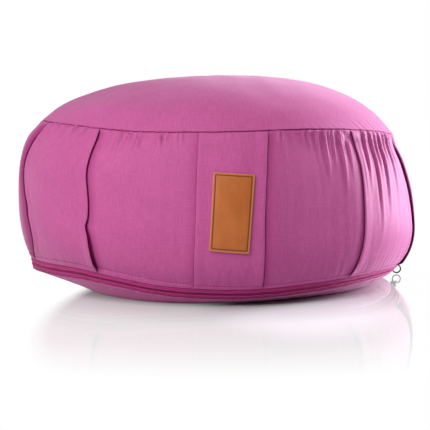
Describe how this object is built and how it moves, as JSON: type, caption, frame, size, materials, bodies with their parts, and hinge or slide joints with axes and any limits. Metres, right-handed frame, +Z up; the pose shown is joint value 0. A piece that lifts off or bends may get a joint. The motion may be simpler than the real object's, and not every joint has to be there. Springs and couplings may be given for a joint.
{
  "type": "zafu meditation cushion",
  "caption": "Round, firmly filled floor cushion with a box-pleated side band, zipped base seam, wire pull ring and blank leather patch.",
  "frame": {"origin": "on the floor, under the middle of the cushion", "axes": "+Z up, the cushion's shortest extent; -Y towards the front strip that carries the leather patch; +X to the right in the picture, where the zip's slider hangs"},
  "size_m": [0.3375, 0.3419, 0.1735],
  "materials": {
    "cushion_cover": "matte magenta cotton twill",
    "zip_tape": "woven crimson zip tape",
    "zip_chain": "dark crimson nylon coil",
    "zip_metal": "satin grey metal",
    "leather_patch": "smooth tan leather, bare"
  },
  "bodies": {
    "root": {"cushion": "cushion_cover", "zip_tape_upper": "zip_tape", "zip_tape_lower": "zip_tape", "zip_chain": "zip_chain", "zip_slider": "zip_metal", "pull_ring": "zip_metal", "leather_patch": "leather_patch"}
  },
  "joints": []
}
